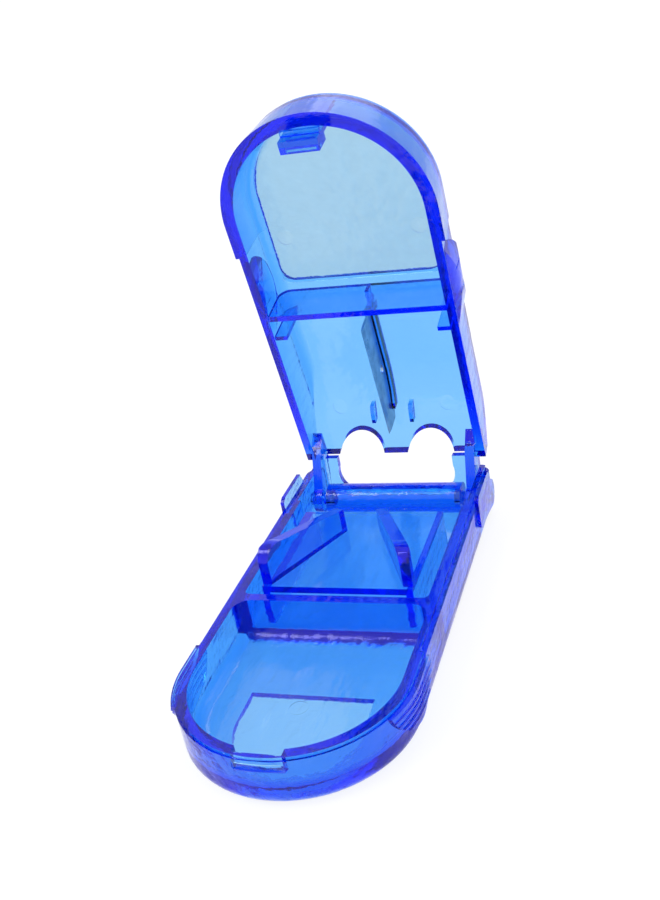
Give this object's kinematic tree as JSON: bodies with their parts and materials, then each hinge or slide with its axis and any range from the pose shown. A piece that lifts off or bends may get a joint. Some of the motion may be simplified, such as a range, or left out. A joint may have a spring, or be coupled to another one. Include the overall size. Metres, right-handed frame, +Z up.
{
  "type": "pill_splitter",
  "caption": "Pocket pill splitter: capsule-plan storage box with a hinged lid carrying a fixed cutting blade over a V-shaped pill cradle.",
  "frame": {"origin": "centre of the base's flat underside", "axes": "X along the hinge axis (right side +X), Y from the round latch end (-Y) to the hinge (+Y), Z up from the underside"},
  "size_m": [0.0412, 0.0937, 0.088],
  "materials": {
    "body_plastic": "translucent blue moulded polystyrene, glossy, deeper blue where thick or seen edge-on",
    "blade_steel": "thin ground stainless blade, satin flanks",
    "pin_plastic": "deep blue translucent plastic pins"
  },
  "bodies": {
    "base": {"base_tray": "body_plastic", "pill_cradle": "body_plastic", "hinge_pin_left": "pin_plastic", "hinge_pin_right": "pin_plastic"},
    "lid": {"lid": "body_plastic", "blade": "blade_steel"}
  },
  "joints": [
    {"name": "lid_hinge", "type": "hinge", "parent": "base", "child": "lid", "pos_m": [0, 0.03945, 0.0044], "axis": [-1, 0, 0], "range_deg": [-76, 20]}
  ]
}
